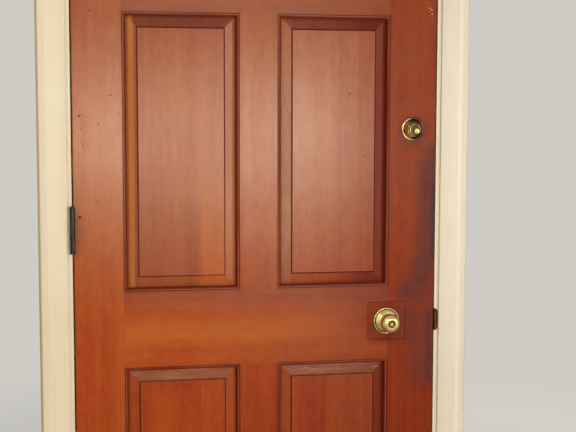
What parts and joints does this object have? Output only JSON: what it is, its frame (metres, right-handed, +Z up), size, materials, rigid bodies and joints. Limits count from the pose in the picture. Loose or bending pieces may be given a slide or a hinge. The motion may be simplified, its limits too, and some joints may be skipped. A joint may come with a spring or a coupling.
{
  "type": "panelled front door",
  "caption": "Panelled stile-and-rail front door hung in its rabbeted frame, with casing, sill, knob set, deadbolt and butt hinges; the leaf swings and the lock works.",
  "frame": {"origin": "middle of the sill's underside, midway between the jambs and at half the jambs' depth", "axes": "+X from the hinge side to the lock side as seen from the room, +Y from the room to the outside, +Z up"},
  "size_m": [1.0822, 0.2065, 2.1419],
  "materials": {
    "stained_fir": "reddish-brown stained fir under satin varnish",
    "patch_fir": "stained fir patch under satin varnish",
    "cream_paint": "wood under cream satin paint",
    "sill_oak": "oiled oak",
    "foam_seal": "matt brown foam-filled seal",
    "sweep_rubber": "matt dark rubber",
    "dark_bronze": "dark oil-rubbed bronze",
    "polished_brass": "polished yellow brass",
    "aged_brass": "dull tarnished brass",
    "plated_steel": "dull plated steel"
  },
  "bodies": {
    "frame": {"hinge_jamb": "cream_paint", "lock_jamb": "cream_paint", "lock_jamb_strike_length": "cream_paint", "head_jamb": "cream_paint", "sill": "sill_oak", "inside_casing_hinge_side": "cream_paint", "inside_casing_lock_side": "cream_paint", "inside_casing_head": "cream_paint", "outside_casing_hinge_side": "cream_paint", "outside_casing_lock_side": "cream_paint", "outside_casing_head": "cream_paint", "weatherstrip": "foam_seal", "latch_strike": "dark_bronze", "deadbolt_strike": "dark_bronze", "strike_screws": "dark_bronze", "top_hinge_jamb_leaf": "dark_bronze", "middle_hinge_jamb_leaf": "dark_bronze", "bottom_hinge_jamb_leaf": "dark_bronze", "hinge_pins": "dark_bronze", "hinge_jamb_screws": "dark_bronze"},
    "door": {"hinge_stile": "stained_fir", "lock_stile": "stained_fir", "top_rail": "stained_fir", "frieze_rail": "stained_fir", "lock_rail": "stained_fir", "bottom_rail": "stained_fir", "top_muntin": "stained_fir", "middle_muntin": "stained_fir", "bottom_muntin": "stained_fir", "top_left_panel": "stained_fir", "top_right_panel": "stained_fir", "middle_left_panel": "stained_fir", "middle_right_panel": "stained_fir", "bottom_left_panel": "stained_fir", "bottom_right_panel": "stained_fir", "lock_patch": "patch_fir", "top_hinge_door_leaf": "dark_bronze", "middle_hinge_door_leaf": "dark_bronze", "bottom_hinge_door_leaf": "dark_bronze", "hinge_door_screws": "dark_bronze", "inside_rose": "polished_brass", "outside_rose": "polished_brass", "latch_case": "plated_steel", "deadbolt_case": "plated_steel", "deadbolt_inside_collar": "aged_brass", "deadbolt_outside_collar": "aged_brass", "deadbolt_inside_cylinder": "aged_brass", "deadbolt_outside_cylinder": "aged_brass", "door_sweep": "sweep_rubber", "lock_edge_screws": "plated_steel", "lock_through_screws": "plated_steel"},
    "knobs": {"inside_knob": "polished_brass", "outside_knob": "polished_brass", "knob_spindle": "plated_steel"},
    "lock_button": {"lock_button": "polished_brass"},
    "knob_key_plug": {"knob_key_plug": "polished_brass"},
    "latch": {"latch_bolt": "aged_brass"},
    "deadbolt": {"deadbolt": "aged_brass"},
    "deadbolt_inside_plug": {"deadbolt_inside_plug": "aged_brass"},
    "deadbolt_outside_plug": {"deadbolt_outside_plug": "aged_brass"}
  },
  "joints": [
    {"name": "door_swing", "type": "hinge", "parent": "frame", "child": "door", "pos_m": [-0.4587, -0.07065, 1.042], "axis": [0, 0, -1], "range_deg": [0, 175]},
    {"name": "knob_turn", "type": "hinge", "parent": "door", "child": "knobs", "pos_m": [0.3323, -0.03572, 0.84675], "axis": [0, 1, 0], "range_deg": [0, 60], "stiffness_Nm_per_rad": 0.3},
    {"name": "lock_button_turn", "type": "hinge", "parent": "knobs", "child": "lock_button", "pos_m": [0.3323, -0.10795, 0.84675], "axis": [0, 1, 0], "range_deg": [0, 90]},
    {"name": "knob_key_turn", "type": "hinge", "parent": "knobs", "child": "knob_key_plug", "pos_m": [0.3323, 0.0365, 0.84675], "axis": [0, -1, 0], "range_deg": [0, 90]},
    {"name": "latch_retract", "type": "slide", "parent": "door", "child": "latch", "axis": [-1, 0, 0], "range_m": [0, 0.0127]},
    {"name": "deadbolt_inside_key_turn", "type": "hinge", "parent": "door", "child": "deadbolt_inside_plug", "pos_m": [0.4015, -0.07795, 1.33455], "axis": [0, 1, 0], "range_deg": [0, 90]},
    {"name": "deadbolt_throw", "type": "slide", "parent": "door", "child": "deadbolt", "axis": [1, 0, 0], "range_m": [0, 0.0254]},
    {"name": "deadbolt_outside_key_turn", "type": "hinge", "parent": "door", "child": "deadbolt_outside_plug", "pos_m": [0.4015, 0.0065, 1.33455], "axis": [0, -1, 0], "range_deg": [0, 90]}
  ],
  "couplings": [
    {"joint": "latch_retract", "follows": "knob_turn", "m_per_rad": 0.01212},
    {"joint": "deadbolt_inside_key_turn", "follows": "deadbolt_throw", "rad_per_m": 61.8}
  ]
}
